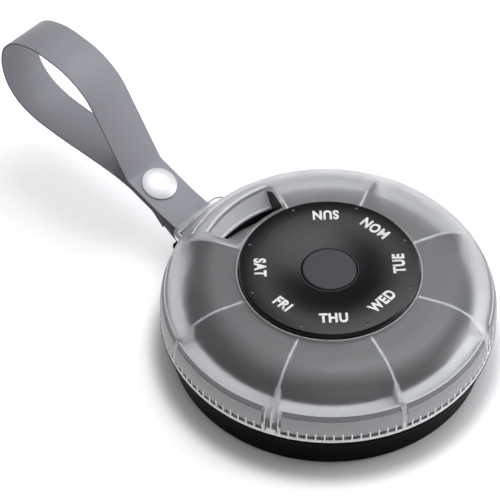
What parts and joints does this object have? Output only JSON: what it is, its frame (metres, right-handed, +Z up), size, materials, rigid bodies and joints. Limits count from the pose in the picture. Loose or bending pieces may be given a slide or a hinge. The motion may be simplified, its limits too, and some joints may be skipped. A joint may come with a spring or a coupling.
{
  "type": "rotating pill organizer",
  "caption": "Round case with a frosted dome cover, a dished centre dial and push button that turn a tray of pill pockets under a window, and a looped carry strap.",
  "frame": {"origin": "centre of the flat bottom face of the base", "axes": "+Z up along the dial's axis, +Y towards the window and the strap lug, +X to the right seen from the front"},
  "size_m": [0.09, 0.1636, 0.047],
  "materials": {
    "black_body": "fine satin moulded plastic",
    "frosted": "frosted translucent plastic",
    "dial_black": "satin moulded plastic",
    "button_grey": "satin moulded plastic",
    "white_insert": "white moulded plastic",
    "natural_acetal": "unpainted acetal",
    "bright_steel": "polished nickel plate",
    "plain_steel": "zinc-plated steel",
    "strap_grey": "smooth grey coated strap"
  },
  "bodies": {
    "case": {"base_shell": "black_body", "cover": "frosted", "index_ring": "natural_acetal", "slip_washer": "white_insert", "strap_bar": "plain_steel"},
    "rotor": {"tray": "black_body", "blank_plate": "white_insert", "detent_fork": "natural_acetal", "dial": "dial_black", "dial_screws": "plain_steel", "return_spring": "plain_steel"},
    "button": {"button_cap": "button_grey", "lock_sleeve": "natural_acetal", "button_screw": "plain_steel"},
    "strap": {"strap": "strap_grey", "rivet_cap": "bright_steel", "rivet_back": "bright_steel"}
  },
  "joints": [
    {"name": "dial_turn", "type": "hinge", "parent": "case", "child": "rotor", "pos_m": [0, 0, 0.0112], "axis": [0, 0, 1], "continuous": true},
    {"name": "button_press", "type": "slide", "parent": "rotor", "child": "button", "axis": [0, 0, -1], "range_m": [0, 0.002], "stiffness_N_per_m": 300, "springref_m": -0.002, "deforming": ["return_spring"]},
    {"name": "strap_swing", "type": "hinge", "parent": "case", "child": "strap", "pos_m": [0, 0.0466, 0.0098], "axis": [1, 0, 0], "range_deg": [-75, 3]}
  ]
}
